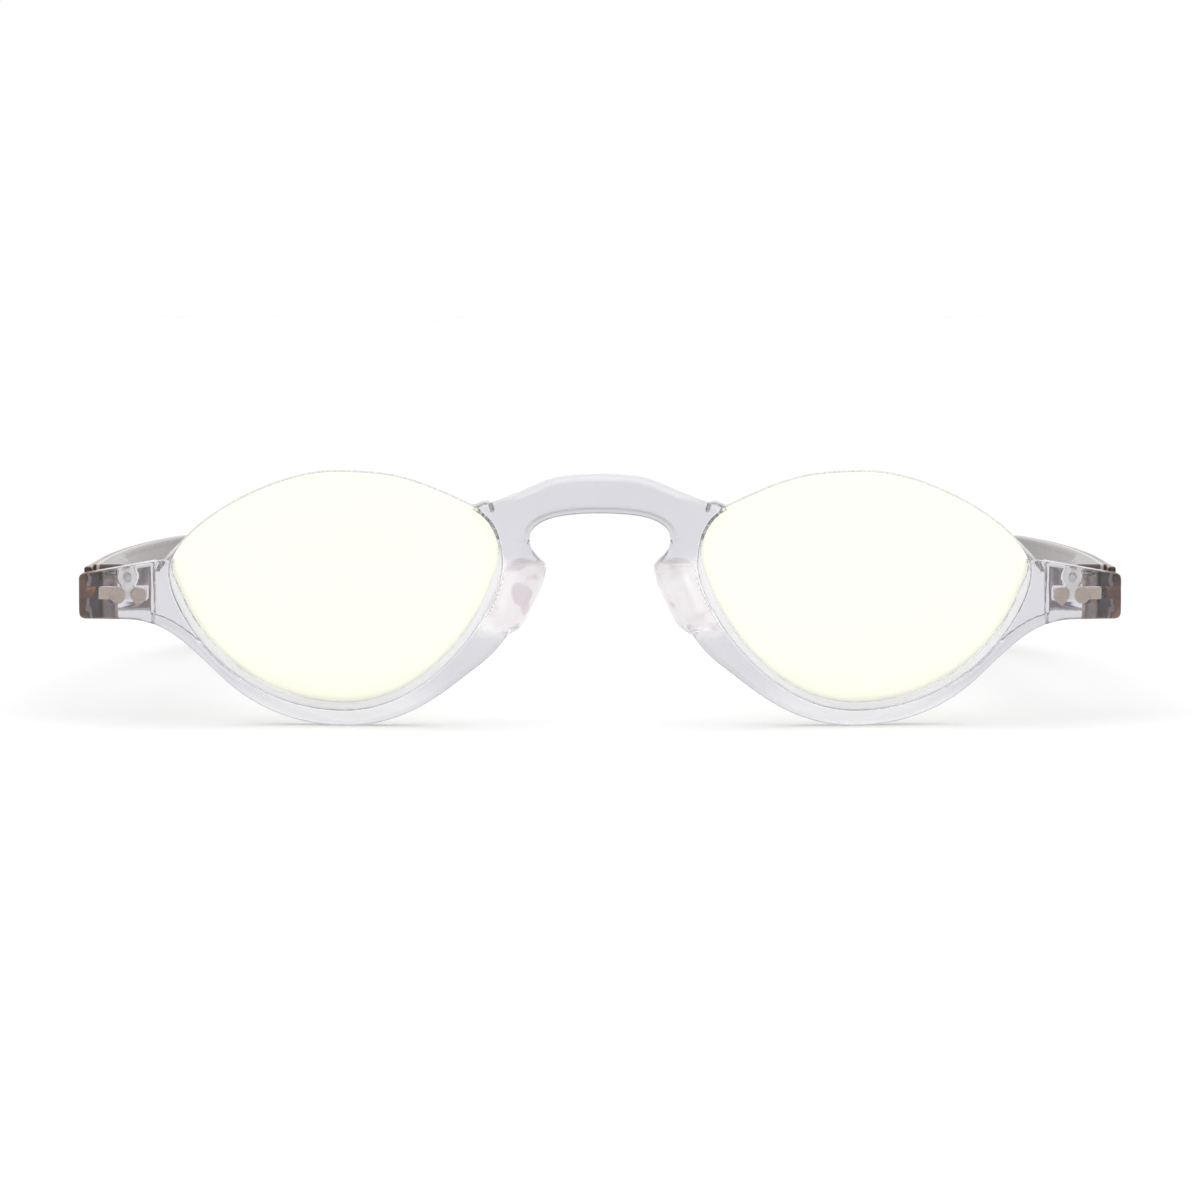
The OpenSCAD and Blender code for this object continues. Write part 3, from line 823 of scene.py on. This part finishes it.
def pale_floor():
    """A matt, nearly white studio table."""
    m = Shader("pale_floor")
    at = m.place()
    m.set(
        Base_Color=m.ramp(m.noise(at, 6, 3), [
            (0.3, (0.95, 0.95, 0.955)), (0.7, (0.97, 0.97, 0.97))]),
        Roughness=m.span(m.noise(at, 40, 4), 0.55, 0.7),
    )
    m.bump(m.noise(at, 300, 4), 0.05, 0.0002)
    return m.material


def dress_metal(node, material, edge):
    """Puts a metal and a small worn edge on a CAD node."""
    obj = NODES[node]
    obj.data.materials.clear()
    obj.data.materials.append(material)
    weld = obj.modifiers.new("weld", "WELD")
    weld.merge_threshold = 1e-6
    bevel = obj.modifiers.new("edges", "BEVEL")
    bevel.width = edge * MM
    bevel.segments = 2
    bevel.limit_method = "ANGLE"
    bevel.angle_limit = math.radians(35)


# ---------- camera, light and floor, in metres ----------
CAMERA_AWAY, CAMERA_UP = 0.7, 0.065
AIM_UP = 0.0165
FLOOR_HALF_W = 3.0


def add_light(name, where, target, size, power):
    """A white rectangular lamp at where, aimed at target."""
    data = bpy.data.lights.new(name, "AREA")
    data.shape = "RECTANGLE"
    data.size, data.size_y = size
    data.energy = power
    obj = bpy.data.objects.new(name, data)
    bpy.context.scene.collection.objects.link(obj)
    obj.location = where
    obj.rotation_euler = (Vector(target) - Vector(where)).to_track_quat("-Z", "Y").to_euler()


def studio_sky():
    """White round the horizon, dimmer above it, and a bright ceiling, as in a light tent."""
    world = bpy.data.worlds.new("studio")
    world.use_nodes = True
    tree = world.node_tree
    where = tree.nodes.new("ShaderNodeTexCoord")
    split = tree.nodes.new("ShaderNodeSeparateXYZ")
    ramp = tree.nodes.new("ShaderNodeValToRGB")
    ramp.color_ramp.interpolation = "EASE"
    peak = 2.0
    stops = [(0.28, 1.0), (0.38, 0.45), (0.6, 0.45), (0.72, 1.45), (1.0, 1.45)]
    while len(ramp.color_ramp.elements) < len(stops):
        ramp.color_ramp.elements.new(0.5)
    for element, (at, strength) in zip(ramp.color_ramp.elements, stops):
        element.position = at
        element.color = (strength / peak,) * 3 + (1,)
    tree.links.new(where.outputs["Generated"], split.inputs[0])
    tree.links.new(split.outputs["Z"], ramp.inputs["Fac"])
    tree.links.new(ramp.outputs["Color"], tree.nodes["Background"].inputs["Color"])
    tree.nodes["Background"].inputs["Strength"].default_value = peak
    return world


def set_up_camera():
    """A long lens in front of the bridge, a little above it."""
    scene = bpy.context.scene
    front_y = BACK * MM
    data = bpy.data.cameras.new("camera")
    data.sensor_width = 36
    data.lens = 163
    camera = bpy.data.objects.new("camera", data)
    scene.collection.objects.link(camera)
    camera.location = (0, front_y - CAMERA_AWAY, CAMERA_UP)
    aim = Vector((0, front_y, AIM_UP)) - camera.location
    camera.rotation_euler = aim.to_track_quat("-Z", "Y").to_euler()
    scene.camera = camera


def set_up_stage():
    """Floor, sky and one soft lamp."""
    scene = bpy.context.scene
    mesh = bpy.data.meshes.new("floor")
    size = FLOOR_HALF_W
    mesh.from_pydata([(-size, -size, 0), (size, -size, 0), (size, size, 0), (-size, size, 0)],
                     [], [(0, 1, 2, 3)])
    mesh.materials.append(pale_floor())
    floor = bpy.data.objects.new("floor", mesh)
    scene.collection.objects.link(floor)

    scene.world = studio_sky()
    add_light("soft_front", (0.1, -1.0, 0.6), (0, -0.05, 0.015), (0.7, 0.5), 2.2)
    scene.view_settings.view_transform = "Standard"


set_up_camera()
set_up_stage()
front_metal = stamped_metal(
    "nickel_silver_front", (0.70, 0.68, 0.66), (0.86, 0.85, 0.83), (1, 5, 1), (0.12, 0.25),
    sawn=((0.56, 0.47, 0.40), (0.66, 0.57, 0.485)))
# painted shade: the rear hinge's metal is a dark brown-grey, standing in for the shade in the
# temple's hinge pocket
rear_metal_shade_darkened = stamped_metal(
    "nickel_silver_rear_shade_darkened", (0.30, 0.24, 0.22), (0.48, 0.41, 0.37), (1, 5, 1), (0.14, 0.3))
steel = stamped_metal("turned_steel", (0.42, 0.41, 0.39), (0.66, 0.65, 0.63), (1, 1, 6))
build_front(clear_plastic())
build_lenses(cream_lens())
build_cords(nylon())
build_temples(tortoiseshell())
for side_name in SIDES:
    dress_metal("front_hinge_" + side_name, front_metal, 0.08)
    dress_metal("temple_hinge_" + side_name, rear_metal_shade_darkened, 0.08)
    dress_metal("hinge_screw_" + side_name, steel, 0.06)
    dress_metal("fixing_screw_" + side_name, steel, 0.05)
    dress_metal("temple_pins_" + side_name, steel, 0.05)
